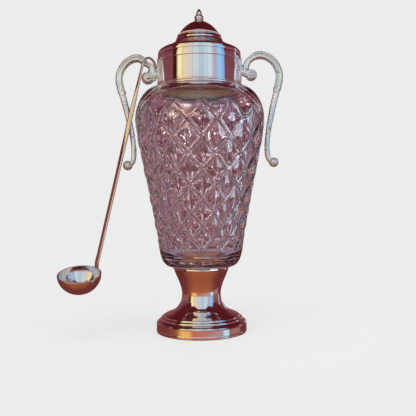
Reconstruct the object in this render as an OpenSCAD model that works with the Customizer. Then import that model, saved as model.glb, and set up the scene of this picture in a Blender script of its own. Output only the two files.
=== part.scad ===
// Lidded pedestal punch bowl: a diamond-cut glass vessel in plated metal
// fittings, with a lift-off lid and a ladle hooked over the left handle.
// Millimetres. Origin on the foot's axis at table level, +Z up, front is -Y.

/* [Glass vessel] */
// Widest radius of the glass body
belly_r = 94; // [92:0.5:95]
// Height of the widest ring
belly_z = 303; // [300:1:306]
// Height of the flat shoulder under the collar
shoulder_z = 352.5; // [351:0.5:354]
// Height of the glass base where it rests on the foot
seat_z = 94; // [93:0.5:95]
// Thickness of the pressed glass wall
glass_t = 6; // [5:0.5:7]
// Outer radius of the glass neck inside the collar
neck_r = 56; // [55:0.5:57]

/* [Neck collar] */
// Outer radius of the collar
collar_r = 60.2; // [59.8:0.1:61]
// Height of the collar's lower edge
collar_z = 356; // [355.5:0.5:357]
// Height of the seam between collar and lid
seam_z = 399.4; // [399:0.1:400]
// Thickness of the collar's sheet metal
collar_t = 1.4; // [1.2:0.1:1.6]

/* [Lid] */
// Radius where the dome meets the lid's shoulder
dome_r = 34.6; // [34:0.1:35.5]
// Height of that junction
dome_z = 420.6; // [419.5:0.1:421.5]
// Height of the flat crown under the finial
crown_z = 450.4; // [449:0.1:453]
// Thickness of the lid's sheet metal
lid_t = 1.3; // [1.1:0.1:1.5]
// Height of the finial above the crown
finial_h = 18.3; // [16:0.1:20]

/* [Foot] */
// Radius of the foot's rim on the table
foot_r = 65.4; // [64.6:0.1:68]
// Height of the vertical rim
rim_h = 12.7; // [11:0.1:14]
// Radius of the waist
waist_r = 28.3; // [27.5:0.1:30]
// Height of the waist
waist_z = 56; // [54:1:58]
// Thickness of the foot's sheet metal
foot_t = 1.6; // [1.4:0.1:1.8]

/* [Handles] */
// Thickness of the plates under the handles
plate_t = 1.5; // [1.3:0.1:1.8]
// Radius of the ball at the lower end
ball_r = 7.3; // [6.5:0.1:8]
// How much lower the left handle is fixed than the right
left_drop = 3; // [2:0.5:4]
// How far the left handle leans outward with height
left_lean = 0.018; // [0:0.001:0.02]
// Radius of the inner curl beside the collar
curl_r = 8.6; // [7.5:0.1:9]

/* [Ladle] */
// Outer radius of the ladle's bowl
bowl_r = 31; // [29:0.5:32]
// Depth of the ladle's bowl
bowl_h = 29.5; // [27:0.5:30]
// Forward tilt of the bowl's rim in degrees
bowl_tilt = 17; // [15:1:19]
// Width of the ladle's flat stem
stem_w = 6.2; // [5.5:0.1:7]
// Thickness of the ladle's flat stem
stem_t = 2.8; // [2.4:0.1:3.2]

/* [Hidden] */
$fn = 96;

silver = [0.78, 0.76, 0.75];
plaster = [0.85, 0.83, 0.78];
steel = [0.6, 0.6, 0.62];

// Glass
glass_floor_z = seat_z + 14;
neck_top_z = 374;
peg_r = 28;
peg_h = 9;
seat_r = 41;
// Collar
collar_in_r = collar_r - collar_t;
ring_r = collar_r + 1.1;
groove_z = 389.4;
// Lid
bead_z = 428.6;
lid_r = collar_r - 0.1;
ledge_z = 409.7;
bead_r = 30.4;
flange_r = 57;
stud_r = 1.5;
stud_z = crown_z - 6.5;
// Foot
foot_top_r = 40.4;
cup_in_r = 29.6;
cup_floor_z = seat_z - 14;
cup_t = 1.4;
rod_r = 3;
rod_head_r = 6;
rod_head_h = 2.6;
washer_z = 40.5;
felt_t = 1.4;
plate_disc_t = 1.5;
base_disc_r = foot_r - foot_t - 0.4;
// Handles
handle_sides = 14;
screw_r = 1.5;
screw_zs = [377.5, 386];
plate_r = collar_r + plate_t;
curl = [75.2, 372];
ball = [107.2, 245];
lean_z = 320;
// Ladle
bowl_c = [-171.7, -30.5, 88.2];
bowl_t = 1.4;
shoe_t = 1.3;
joint_az = 53.5;
hook_c = [-73.4, 0, 385.6];
hook_r = 12.4;
hook_az = 228;
hook_w = 4.4;
hook_t = 3.4;
clear = 0.05;

// ---- Helpers ----

// A cubic curve without its first point
function bez(a, b, c, d, n = 8) = [for (i = [1:n]) let (t = i / n, u = 1 - t)
    u * u * u * a + 3 * u * u * t * b + 3 * u * t * t * c + t * t * t * d];

// A smooth curve through control rows of any length
function through(p, n) = [for (i = [0:len(p) - 2]) for (k = [0:n - 1])
    let (t = k / n, a = p[max(i - 1, 0)], b = p[i], c = p[i + 1],
         d = p[min(i + 2, len(p) - 1)])
    0.5 * (2 * b + (c - a) * t + (2 * a - 5 * b + 4 * c - d) * t * t
           + (3 * b - a - 3 * c + d) * t * t * t),
    p[len(p) - 1]];

function unit(v) = v / norm(v);
function tangent(p, i) = unit(p[min(i + 1, len(p) - 1)] - p[max(i - 1, 0)]);

// A profile moved sideways by d, to the right of its direction
function shifted(p, d) = [for (i = [0:len(p) - 1])
    let (t = tangent(p, i)) p[i] + d * [t.y, -t.x]];

function reversed(p) = [for (i = [len(p) - 1:-1:0]) p[i]];

// Sheet metal of thickness t on the inner side of a profile that runs downward
module spun_shell(p, t) {
    rotate_extrude() polygon(concat(p, reversed(shifted(p, t))));
}

// A ring of rectangular section
module ring(r0, r1, z0, z1) {
    rotate_extrude() translate([r0, z0]) square([r1 - r0, z1 - z0]);
}

// A tube of oval section along points p: sizes a along the directions w, and b across
module sweep(p, w, a, b, n) {
    pts = [for (i = [0:len(p) - 1]) for (k = [0:n - 1])
        let (t = tangent(p, i), u = unit(w[i] - (w[i] * t) * t), v = cross(t, u))
        p[i] + a[i] / 2 * cos(360 * k / n) * u + b[i] / 2 * sin(360 * k / n) * v];
    side = [for (i = [0:len(p) - 2]) for (k = [0:n - 1])
        let (m = (k + 1) % n, q = i * n)
        for (f = [[q + k, q + m, q + n + k], [q + m, q + n + m, q + n + k]]) f];
    last = (len(p) - 1) * n;
    caps = [[for (k = [n - 1:-1:0]) k], [for (k = [0:n - 1]) last + k]];
    polyhedron(points = pts, faces = [for (f = concat(side, caps)) reversed(f)]);
}

module hex_nut(r, bore, z0, z1) {
    difference() {
        translate([0, 0, z0]) cylinder(r = r, h = z1 - z0, $fn = 6);
        translate([0, 0, z0 - 1]) cylinder(r = bore, h = z1 - z0 + 2);
    }
}

// ---- Glass vessel ----

// Outer profile from the neck's rim down to the underside
glass_outer = concat(
    [[neck_r, neck_top_z], [neck_r, shoulder_z], [64, shoulder_z]],
    bez([64, shoulder_z], [80.5, shoulder_z], [belly_r, belly_z + 27], [belly_r, belly_z], 14),
    bez([belly_r, belly_z], [belly_r, belly_z - 18], [80, 226], [74.5, 196], 10),
    bez([74.5, 196], [70.2, 173], [65.8, 150], [61.5, 127], 3),
    bez([61.5, 127], [59.2, seat_z + 14], [55.4, seat_z + 0.6], [seat_r, seat_z], 10),
    [[peg_r, seat_z], [peg_r, seat_z - peg_h], [0, seat_z - peg_h]]);

// Inner profile from the floor up to the neck's rim
in_r = belly_r - glass_t;
in_z = shoulder_z - glass_t;
glass_inner = concat(
    [[0, glass_floor_z], [36, glass_floor_z]],
    bez([36, glass_floor_z], [50, glass_floor_z], [54, 114], [61.5 - glass_t, 128], 8),
    bez([61.5 - glass_t, 128], [60, 150], [64.3, 173], [74.5 - glass_t, 196], 3),
    bez([74.5 - glass_t, 196], [80 - glass_t, 226], [in_r, belly_z - 18], [in_r, belly_z], 10),
    bez([in_r, belly_z], [in_r, belly_z + 24], [76, in_z], [60, in_z], 12),
    bez([60, in_z], [54, in_z], [neck_r - glass_t, in_z + 2], [neck_r - glass_t, in_z + 6], 4),
    [[neck_r - glass_t, neck_top_z]]);

module glass_vessel() {
    color([0.62, 0.5, 0.55, 0.6])
    rotate_extrude() polygon(concat(glass_outer, glass_inner));
}

// ---- Neck collar ----

module neck_collar() {
    color(silver)
    difference() {
        ring(collar_in_r, collar_r, collar_z, seam_z - 0.1);
        // Turned line round the band
        translate([0, 0, groove_z]) rotate_extrude() translate([collar_r, 0]) circle(0.4, $fn = 16);
        // Holes for the handle screws
        for (side = [0, 180], z = screw_zs)
            rotate([0, 0, side]) translate([collar_in_r - 2, 0, z]) rotate([0, 90, 0])
                cylinder(r = screw_r + clear, h = 6, $fn = 32);
    }
}

module collar_base_ring() {
    color(silver)
    rotate_extrude() union() {
        translate([neck_r + clear, shoulder_z])
            square([ring_r - 1.6 - neck_r, collar_z - shoulder_z]);
        translate([ring_r - 1.75, (shoulder_z + collar_z) / 2])
            circle((collar_z - shoulder_z) / 2, $fn = 32);
    }
}

module collar_cement() {
    color(plaster) ring(neck_r, collar_in_r, collar_z, neck_top_z - 2);
}

// ---- Handles ----

// Outline of half a plate: half width and height
plate_edge = [[0, 396.6], [9, 395.6], [20, 391.9], [29, 387], [33.5, 381], [36, 374],
    [37.4, 366], [37.8, 357], [0, 357]];

module handle_plate() {
    color(silver)
    difference() {
        intersection() {
            ring(collar_r, plate_r, 350, 399);
            rotate([90, 0, 90]) linear_extrude(90)
                polygon(concat(plate_edge, [for (q = reversed(plate_edge)) [-q.x, q.y]]));
        }
        for (z = screw_zs)
            translate([collar_r - 2, 0, z]) rotate([0, 90, 0])
                cylinder(r = screw_r + clear, h = 8, $fn = 32);
    }
}

module right_handle_plate() {
    handle_plate();
}

module left_handle_plate() {
    mirror([1, 0, 0]) handle_plate();
}

// Centre line of the arm: radius, height, thickness in the plane, depth across it
arm_root_high = [[67.3, 372, 10, 10], [67, 381, 10, 9.6], [68.6, 388.5, 9.4, 9],
    [73, 394.6, 9.2, 9], [80.5, 399.4, 10.4, 9.4]];
// The left arm is low beside the collar: a saddle for the ladle's hook
arm_root_low = [[69, 368, 12, 10], [68.8, 376, 12, 10], [69, 383, 11, 9.2], [70.4, 388, 9.4, 8],
    [73.8, 391.2, 8.5, 7], [79, 394, 8.8, 7.2], [83.6, 398.4, 10.2, 8.4]];
arm_rest = [[89, 401, 11.2, 9.6], [98.4, 398.6, 11, 9.6], [106.6, 392.8, 10.6, 9.4],
    [112.3, 385, 10.2, 9.2], [115.6, 376.2, 10, 9], [116.2, 367.5, 10, 9],
    [114.7, 358.7, 10, 9], [112.6, 350, 10.2, 9], [110.3, 341.2, 9.8, 8.6],
    [108, 332.4, 9.8, 8.6], [105.4, 320.8, 9.2, 8.4], [103.1, 309, 8.8, 8.2],
    [100.8, 297.4, 8.4, 8], [99, 285.7, 8, 8], [97.8, 274, 8, 8],
    [97.6, 262.5, 8, 8], [99.3, 251.6, 8, 7.6], [104, 244.4, 6.5, 7]];

module handle(root, drop, lean, curl_size) {
    arm = [for (q = arm_rest) [q[0] + lean * (q[1] - lean_z), q[1], q[2], q[3]]];
    rows = through(concat(root, arm), 3);
    path = [for (q = rows) [q[0], 0, q[1]]];
    color(silver)
    difference() {
        translate([0, 0, -drop]) union() {
            sweep(path, [for (q = rows) [0, 1, 0]], [for (q = rows) q[3]],
                [for (q = rows) q[2]], handle_sides);
            hull() {
                translate([66.5, 0, curl.y + 3.5]) sphere(5, $fn = 20);
                translate([curl.x, 0, curl.y]) sphere(curl_size, $fn = 24);
            }
            translate([ball.x + lean * (ball.y - lean_z), 0, ball.y]) sphere(ball_r, $fn = 48);
        }
        // Face that sits on the curved plate
        translate([0, 0, 340]) cylinder(r = plate_r + clear, h = 60);
        for (z = screw_zs)
            translate([plate_r - 2, 0, z]) rotate([0, 90, 0])
                cylinder(r = screw_r + clear, h = 7.5, $fn = 32);
    }
}

module right_handle() {
    handle(arm_root_high, 0, 0, curl_r);
}

module left_handle() {
    mirror([1, 0, 0]) handle(arm_root_low, left_drop, left_lean, curl_r + 0.8);
}

// Four screws from inside the collar into the handles
module handle_screws() {
    color(steel)
    for (side = [0, 180], z = screw_zs)
        rotate([0, 0, side]) translate([0, 0, z]) rotate([0, 90, 0]) {
            translate([0, 0, collar_in_r - 1.3]) cylinder(r = 2.8, h = 1.2, $fn = 32);
            translate([0, 0, collar_in_r - 0.2]) cylinder(r = screw_r, h = 8, $fn = 32);
        }
}

// ---- Lid ----

// Outer profile of the lid from the crown down to its rim
lid_outer = concat(
    [[0.01, crown_z], [5, crown_z]],
    bez([5, crown_z], [18.5, crown_z - 2.6], [30.8, dome_z + 12.5], [dome_r, dome_z], 16),
    bez([dome_r, dome_z], [35.4, dome_z - 1.6], [37.2, dome_z - 2.8], [39.2, dome_z - 4], 4),
    bez([39.2, dome_z - 4], [42.6, dome_z - 6.2], [46.5, ledge_z + 1.2], [51, ledge_z], 4),
    bez([51, ledge_z], [53.6, ledge_z - 0.7], [55.4, ledge_z - 1.5], [56.6, ledge_z - 2.3], 3),
    bez([56.6, ledge_z - 2.3], [58.7, ledge_z - 3.6], [lid_r, ledge_z - 5.4], [lid_r, ledge_z - 8], 5),
    [[lid_r, seam_z]]);

module lid_shell() {
    color(silver)
    difference() {
        union() {
            spun_shell(lid_outer, lid_t);
            // Fine raised rings where the dome meets the shoulder
            translate([0, 0, dome_z + 1]) rotate_extrude()
                translate([dome_r - 0.4, 0]) circle(0.6, $fn = 20);
            translate([0, 0, dome_z - 4.4]) rotate_extrude()
                translate([39.6, 0]) circle(0.6, $fn = 20);
        }
        translate([0, 0, crown_z - 5]) cylinder(r = stud_r + clear, h = 10, $fn = 32);
    }
}

module lid_bead_ring() {
    color(silver)
    translate([0, 0, bead_z]) rotate_extrude() translate([bead_r + 1, 0.6]) circle(1.2, $fn = 24);
}

module lid_inner_flange() {
    color(silver)
    union() {
        ring(flange_r - 1.2, flange_r, 385, seam_z + 1.4);
        ring(flange_r - 0.2, collar_r - 0.1 - lid_t, seam_z + 0.2, seam_z + 1.4);
    }
}

module finial() {
    z0 = crown_z;
    s = finial_h / 18.3;
    color(silver)
    difference() {
        rotate_extrude() polygon(concat(
            [[0, z0 + 18.3 * s], [1.1, z0 + 17.9 * s]],
            bez([1.1, z0 + 17.9 * s], [2.6, z0 + 16.2 * s], [4.4, z0 + 13 * s], [4.4, z0 + 10.4 * s], 6),
            bez([4.4, z0 + 10.4 * s], [4, z0 + 9.6 * s], [4, z0 + 9.4 * s], [4.4, z0 + 9 * s], 3),
            bez([4.4, z0 + 9 * s], [7.4, z0 + 7.8 * s], [7.4, z0 + 3 * s], [5.2, z0 + 1.9 * s], 8),
            [[5.2, z0 + 1.2 * s], [7.2, z0 + 0.6 * s], [7.2, z0 + 0.02], [0, z0 + 0.02]]));
        translate([0, 0, z0 - 1]) cylinder(r = stud_r + clear, h = 7, $fn = 32);
    }
}

module finial_stud() {
    color(steel)
    translate([0, 0, stud_z]) cylinder(r = stud_r, h = crown_z + 5.9 - stud_z, $fn = 32);
}

module finial_washer() {
    color(steel) ring(stud_r + clear, 4.4, crown_z - lid_t - 1, crown_z - lid_t);
}

module finial_nut() {
    color(steel) hex_nut(3.2, stud_r + clear, stud_z + 0.8, crown_z - lid_t - 1);
}

// ---- Foot ----

// Outer profile from the top edge down to the table
foot_outer = concat(
    [[foot_top_r, seat_z - 0.1], [foot_top_r, seat_z - 1.8]],
    bez([foot_top_r - 0.3, seat_z - 2.5], [37.5, 82], [waist_r + 0.6, waist_z + 13],
        [waist_r, waist_z], 12),
    bez([waist_r, waist_z], [waist_r, waist_z - 12], [31.2, 36.5], [41.5, 30.3], 12),
    bez([41.5, 30.3], [46, 28], [51, 27], [55, 24.3], 5),
    bez([55, 24.3], [55.5, 23.7], [55.7, 23], [55.8, 22.2], 2),
    bez([55.8, 22.2], [58.4, 22.6], [59.9, 20.6], [59.7, 18.6], 6),
    bez([59.7, 18.6], [61.2, 17.7], [foot_r - 0.2, 16.6], [foot_r, rim_h], 6),
    [[foot_r, 1.6]],
    bez([foot_r, 1.6], [foot_r, 0.5], [foot_r - 0.6, 0], [foot_r - 1.2, 0], 4),
    [[foot_r - foot_t - 0.9, 0]]);

// Inner profile from the table back up to the top edge
foot_inner = concat(
    [[foot_r - foot_t - 0.2, 1], [foot_r - foot_t - 0.2, rim_h - 1]],
    bez([foot_r - foot_t - 0.2, rim_h - 1], [59, 17.3], [56, 19.8], [50.6, 24], 4),
    reversed(shifted(concat([[foot_top_r, seat_z - 1.8]],
        bez([foot_top_r - 0.3, seat_z - 2.5], [37.5, 82], [waist_r + 0.6, waist_z + 13],
            [waist_r, waist_z], 12),
        bez([waist_r, waist_z], [waist_r, waist_z - 12], [31.2, 36.5], [41.5, 30.3], 12)), foot_t)),
    [[foot_top_r - foot_t, seat_z - 0.1]]);

module foot_shell() {
    color(silver) rotate_extrude() polygon(concat(foot_outer, foot_inner));
}

module foot_seat_cup() {
    color(steel)
    rotate_extrude() polygon([[rod_r + clear, cup_floor_z], [cup_in_r + cup_t, cup_floor_z],
        [cup_in_r + cup_t, seat_z - cup_t], [foot_top_r - foot_t - 0.1, seat_z - cup_t],
        [foot_top_r - foot_t - 0.1, seat_z - 0.05], [cup_in_r, seat_z - 0.05],
        [cup_in_r, cup_floor_z + cup_t], [rod_r + clear, cup_floor_z + cup_t]]);
}

module seat_cement() {
    z0 = cup_floor_z + cup_t;
    color(plaster)
    rotate_extrude() polygon([[rod_head_r + clear, z0], [cup_in_r, z0], [cup_in_r, seat_z - 0.5],
        [peg_r, seat_z - 0.5], [peg_r, seat_z - peg_h], [rod_head_r + clear, seat_z - peg_h]]);
}

module foot_tie_rod() {
    color(steel)
    union() {
        translate([0, 0, cup_floor_z + cup_t]) cylinder(r = rod_head_r, h = rod_head_h);
        translate([0, 0, washer_z - 8]) cylinder(r = rod_r, h = cup_floor_z + cup_t + 8.5 - washer_z);
    }
}

module foot_washer() {
    color(steel) ring(rod_r + clear, waist_r - 0.6, washer_z, washer_z + 2);
}

module foot_nut() {
    color(steel) hex_nut(5.8, rod_r + clear, washer_z - 5, washer_z);
}

module base_plate() {
    color(steel)
    translate([0, 0, felt_t]) cylinder(r = base_disc_r, h = plate_disc_t);
}

module base_felt() {
    color([0.12, 0.2, 0.14]) cylinder(r = base_disc_r - 1, h = felt_t);
}

// ---- Ladle ----

// Places its children in the frame of the bowl's tilted rim
module at_bowl() {
    translate(bowl_c) rotate([bowl_tilt, 0, 0]) children();
}

// A point at distance r from the rim's centre, at elevation el, on the side of the stem
function by_bowl(r, el) = let (
    q = r * [cos(el) * cos(joint_az), cos(el) * sin(joint_az), sin(el)])
    bowl_c + [q.x, q.y * cos(bowl_tilt) - q.z * sin(bowl_tilt),
              q.y * sin(bowl_tilt) + q.z * cos(bowl_tilt)];

// Profile of the bowl: an arc from the rim to the bottom
bowl_arc = [for (i = [0:16]) let (a = 90 * i / 16) [bowl_r * cos(a), -bowl_h * sin(a)]];
bowl_arc_in = [for (i = [16:-1:0]) let (a = 90 * i / 16)
    [(bowl_r - bowl_t) * cos(a), -(bowl_h - bowl_t) * sin(a)]];

module ladle_bowl() {
    color(silver) at_bowl() rotate_extrude() polygon(concat(bowl_arc, bowl_arc_in));
}

module ladle_shoe() {
    color(silver) at_bowl()
    intersection() {
        difference() {
            sphere(bowl_r + shoe_t);
            sphere(bowl_r + clear);
        }
        rotate([0, 0, joint_az]) translate([0, 0, -9.5]) rotate([0, 90, 0])
            cylinder(r = 8.5, h = bowl_r + 10);
    }
}

// A point on the hook: angle 0 on the stem's side, 180 on the tip's side
hook_d = [cos(hook_az), sin(hook_az), 0];
function on_hook(a) = hook_c + hook_r * (cos(a) * hook_d + sin(a) * [0, 0, 1]);

module ladle_stem() {
    turns = [for (a = [206:-16:14]) a];
    top = on_hook(14);
    foot = by_bowl(bowl_r + shoe_t + stem_t / 2 + 0.5, 6);
    hook = [for (a = turns) on_hook(a)];
    shaft = [for (f = [0.06, 0.14, 0.25, 0.5, 0.75, 0.95]) top + f * (foot - top)];
    end = [foot, by_bowl(bowl_r + shoe_t + stem_t / 2 + 0.1, -14)];
    path = concat(hook, [top], shaft, end);
    flat = [1, 0, 0];
    across = [hook_d.y, -hook_d.x, 0];
    n = len(hook);
    tangential = [-sin(joint_az), cos(joint_az), 0];
    dirs = concat([for (p = hook) -across], [-across * 0.8 + flat * 0.2],
        [-across * 0.5 + flat * 0.5, flat, flat, flat, flat, flat], [flat - tangential, -tangential]);
    widths = concat([for (i = [0:n - 1]) hook_w], [hook_w], [4.8, 5.4, stem_w, stem_w, stem_w, stem_w],
        [stem_w + 0.8, stem_w - 1]);
    depths = concat([for (i = [0:n - 1]) hook_t], [hook_t], [3.2, 3, stem_t, stem_t, stem_t, stem_t],
        [stem_t, stem_t - 0.4]);
    color(silver) sweep(path, dirs, widths, depths, 12);
}

glass_vessel();
neck_collar();
collar_base_ring();
collar_cement();
left_handle_plate();
right_handle_plate();
left_handle();
right_handle();
handle_screws();
lid_shell();
lid_bead_ring();
lid_inner_flange();
finial();
finial_stud();
finial_washer();
finial_nut();
foot_shell();
foot_seat_cup();
seat_cement();
foot_tie_rod();
foot_washer();
foot_nut();
base_plate();
base_felt();
ladle_bowl();
ladle_shoe();
ladle_stem();
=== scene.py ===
"""Looks of a lidded glass punch bowl with plated mounts, two cast handles and a ladle.

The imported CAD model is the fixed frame. The visible parts are rebuilt here as fine meshes in the same
frame: the cut glass, the spun metal, the cast handles and the ladle. The hidden parts and the ladle's
shoe keep their CAD meshes. Shapes are written in millimetres and scaled once, when a mesh is made.
The front is -Y.
"""
import math
from math import cos, radians, sin
import bmesh
import bpy
from mathutils import Matrix, Vector


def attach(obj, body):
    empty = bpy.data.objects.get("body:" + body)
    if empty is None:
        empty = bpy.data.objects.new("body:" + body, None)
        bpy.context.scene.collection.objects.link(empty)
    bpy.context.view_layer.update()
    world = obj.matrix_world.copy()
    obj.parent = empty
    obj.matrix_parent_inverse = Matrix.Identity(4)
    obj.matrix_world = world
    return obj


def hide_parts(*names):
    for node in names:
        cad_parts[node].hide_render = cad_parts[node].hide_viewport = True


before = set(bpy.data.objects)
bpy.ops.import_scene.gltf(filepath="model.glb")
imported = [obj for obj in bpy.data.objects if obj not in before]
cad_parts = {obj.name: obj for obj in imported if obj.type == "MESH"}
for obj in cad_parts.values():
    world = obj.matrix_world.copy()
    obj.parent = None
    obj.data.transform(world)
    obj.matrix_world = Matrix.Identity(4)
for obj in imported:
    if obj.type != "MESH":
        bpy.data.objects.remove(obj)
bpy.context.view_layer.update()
scene = bpy.context.scene
scene.view_settings.view_transform = "Standard"

MM = 0.001
TURN = 2 * math.pi
UP = Vector((0, 0, 1))
DEEP = Vector((0, 1, 0))
ON_AXIS = 1e-4        # a smaller radius counts as a point on the axis
ROUND_OFF = 1e-6
GAP = 0.02            # left between two pieces that lie on each other

# ------------ sizes, most of them the CAD model's

SHOULDER_R = 64
SHOULDER_Z = 352.5
BELLY_R = 94
BELLY_Z = 303
FLANK = (80, 226)     # radius and height where the glass tapers in below its belly
TAPER = (74.5, 196)
HEEL = (61.5, 127)
SEAT_Z = 94
FLOOR_Z = SEAT_Z + 14
GLASS_T = 6
NECK_R = 56
NECK_TOP_Z = 374
COLLAR_R = 60.2
COLLAR_Z = 356
COLLAR_T = 1.4
COLLAR_IN_R = COLLAR_R - COLLAR_T
SEAM_Z = 399.4
GROOVE_Z = 389.4
RING_R = COLLAR_R + 1.1
PLATE_T = 1.5
PLATE_R = COLLAR_R + PLATE_T
LID_T = 1.3
DOME_R = 34.6
DOME_Z = 420.6
CROWN_Z = 450.4
LEDGE_Z = 409.7
RIM_R = COLLAR_R - 0.1
BEAD_Z = 428.6
BEAD_R = 30.4
BEADS = 76
FINIAL_H = 18.3
STUD_HOLE_R = 1.55
FOOT_R = 65.4
FOOT_TOP_R = 40.4
FOOT_T = 1.6
WAIST_R = 28.3
WAIST_Z = 56
RIM_H = 12.7
FLARE = (41.5, 30.3)  # radius and height where the foot's flare turns outward
LIP = (55, 24.3)
LIP_FOOT = (55.8, 22.2)
STEP = (59.7, 18.6)
PEG_R = 28
PEG_H = 9
SEAT_R = 41
LEFT_DROP = 3         # the left handle sits lower and its arm leans a little
LEFT_LEAN = 0.018
LEAN_Z = 320
CURL = (75.2, 372)
CURL_R = 8.6
LEFT_CURL_R = CURL_R + 0.8
BALL = (107.2, 245)
BALL_R = 7.3
BOWL_C = Vector((-171.7, -30.5, 88.2))
BOWL_R = 31
BOWL_H = 29.5
BOWL_T = 1.4
BOWL_TILT = radians(17)
SHOE_T = 1.3
JOINT_AZ = radians(53.5)
HOOK_C = Vector((-73.4, 0, 385.6))
HOOK_R = 12.4
HOOK_AZ = radians(228)
STEM_W = 7.3
STEM_T = 2.8
STEM_RIDGE = 0.5      # how far the spine lies right of the middle
STEM_TURN = radians(10)
STEM_TWIST = radians(14)
HOOK_W = 4.4
HOOK_T = 3.4


# ------------ curves and profiles

SHORTEST_STEP = 0.01


def smooth(low, high, x):
    """0 below low, 1 above high, and a smooth rise between them."""
    t = min(1, max(0, (x - low) / (high - low)))
    return t * t * (3 - 2 * t)


def squared(angle, power):
    """Radius of a round at an angle. Power 2 is a circle, more is squarer and less is pointed."""
    return (abs(cos(angle)) ** power + abs(sin(angle)) ** power) ** (-1 / power)


def bump(x, width):
    """A smooth hump, 1 at 0 and almost nothing beyond width."""
    return math.exp(-(x / (0.5 * width)) ** 2)


def bez(a, b, c, d, n):
    """A cubic curve in the plane without its first point."""
    points = []
    for i in range(1, n + 1):
        t = i / n
        u = 1 - t
        weights = (u * u * u, 3 * u * u * t, 3 * u * t * t, t * t * t)
        points.append(tuple(sum(w * p[k] for w, p in zip(weights, (a, b, c, d))) for k in (0, 1)))
    return points


def arc(centre, radius, start, end, n):
    """Points on a circle in the plane, from start to end in degrees."""
    angles = [radians(start + (end - start) * i / n) for i in range(n + 1)]
    return [(centre[0] + radius * cos(a), centre[1] + radius * sin(a)) for a in angles]


def through(rows, n):
    """A smooth curve through control rows, n steps to each."""
    points = []
    for i in range(len(rows) - 1):
        a, b, c, d = (rows[max(i - 1, 0)], rows[i], rows[i + 1], rows[min(i + 2, len(rows) - 1)])
        for k in range(n):
            t = k / n
            points.append([0.5 * (2 * q + (r - p) * t + (2 * p - 5 * q + 4 * r - s) * t * t
                                  + (3 * q - p - 3 * r + s) * t ** 3) for p, q, r, s in zip(a, b, c, d)])
    return points + [list(rows[-1])]


def rounded(points, steps=4):
    """A profile with rounded corners: each point is radius, height and how far the round reaches."""
    out = [points[0][:2]]
    for before, (x, z, reach), after in zip(points, points[1:], points[2:]):
        p = Vector((x, z))
        a = Vector(before[:2]) - p
        b = Vector(after[:2]) - p
        cut = min(reach, a.length / 2, b.length / 2)
        s = p + a.normalized() * cut
        e = p + b.normalized() * cut
        for k in range(steps + 1):
            t = k / steps
            out.append(tuple(s * (1 - t) ** 2 + p * 2 * t * (1 - t) + e * t * t))
    return out + [points[-1][:2]]


def lengths(profile):
    """Distance along a profile at each of its points."""
    total = [0.0]
    for p, q in zip(profile, profile[1:]):
        total.append(total[-1] + math.dist(p, q))
    return total


def at_length(profile, total, s):
    """The point and the unit tangent of a profile at distance s along it."""
    i = 0
    while i < len(total) - 2 and total[i + 1] < s:
        i += 1
    f = (s - total[i]) / max(total[i + 1] - total[i], 1e-9)
    p, q = Vector(profile[i]), Vector(profile[i + 1])
    return p.lerp(q, f), (q - p).normalized()


def ringed(profile, rings):
    """A downward profile with rings of height, size and width. A size below 0 is a groove."""
    total = lengths(profile)
    spots = []
    for z, size, width in rings:
        i = next(k for k in range(len(profile) - 1) if profile[k][1] >= z > profile[k + 1][1])
        f = (profile[i][1] - z) / (profile[i][1] - profile[i + 1][1])
        spots.append((total[i] + f * (total[i + 1] - total[i]), size, width))
    stops = set(total)
    for s, size, width in spots:
        stops.update(s + width * k / 8 for k in range(-8, 9))
    out = []
    for s in sorted(x for x in stops if 0 <= x <= total[-1]):
        p, t = at_length(profile, total, s)
        lift = sum(size * bump(s - at, width) for at, size, width in spots)
        q = p + Vector((-t.y, t.x)) * lift
        if not out or math.dist(out[-1], q) > SHORTEST_STEP:
            out.append(tuple(q))
    return out


def shell(profile, thickness):
    """The closed section of sheet metal whose outer side is a downward profile."""
    inner = []
    for i, p in enumerate(profile):
        t = (Vector(profile[min(i + 1, len(profile) - 1)]) - Vector(profile[max(i - 1, 0)])).normalized()
        inner.append((max(p[0] + t.y * thickness, 0.0), p[1] - t.x * thickness))
    return profile + inner[::-1]


# ------------ meshes

def ring_faces(rows, closed=False):
    """Faces between neighbouring rows of vertex indices. A row of one vertex is a pole."""
    faces = []
    pairs = list(zip(rows, rows[1:])) + ([(rows[-1], rows[0])] if closed else [])
    for a, b in pairs:
        n = max(len(a), len(b))
        for k in range(n):
            m = (k + 1) % n
            quad = [a[k % len(a)], a[m % len(a)], b[m % len(b)], b[k % len(b)]]
            corners = [v for i, v in enumerate(quad) if v not in quad[:i]]
            if len(corners) > 2:
                faces.append(tuple(corners))
    return faces


def lathe(profile, steps=224, closed=True):
    """A profile of radius and height turned about +Z. Points on the axis become poles."""
    verts, rows = [], []
    for r, z in profile:
        n = 1 if r < ON_AXIS else steps
        rows.append(list(range(len(verts), len(verts) + n)))
        verts += [(r * sin(TURN * k / n), -r * cos(TURN * k / n), z) for k in range(n)]
    return verts, ring_faces(rows, closed)


def sweep(path, out, across, section, sides):
    """A closed bar along a path. section(i, angle) gives the offsets along out[i] and across[i]."""
    verts, rows = [path[0]], [[0]]
    for i, p in enumerate(path):
        rows.append(list(range(len(verts), len(verts) + sides)))
        for k in range(sides):
            a, b = section(i, TURN * k / sides)
            verts.append(p + a * out[i] + b * across[i])
    verts.append(path[-1])
    rows.append([len(verts) - 1])
    return verts, ring_faces(rows)


def ball(centre, radius, relief, rows=56, sides=96):
    """A sphere about an axis along Y. relief(slope, turn) lifts it, with slope 0 to pi from the front."""
    verts, rings = [], []
    for i in range(rows + 1):
        slope = math.pi * i / rows
        n = 1 if i in (0, rows) else sides
        rings.append(list(range(len(verts), len(verts) + n)))
        for k in range(n):
            turn = TURN * k / n
            r = radius + relief(slope, turn)
            verts.append(centre + r * Vector((sin(slope) * cos(turn), -cos(slope),
                                              sin(slope) * sin(turn))))
    return verts, ring_faces(rings)


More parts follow.
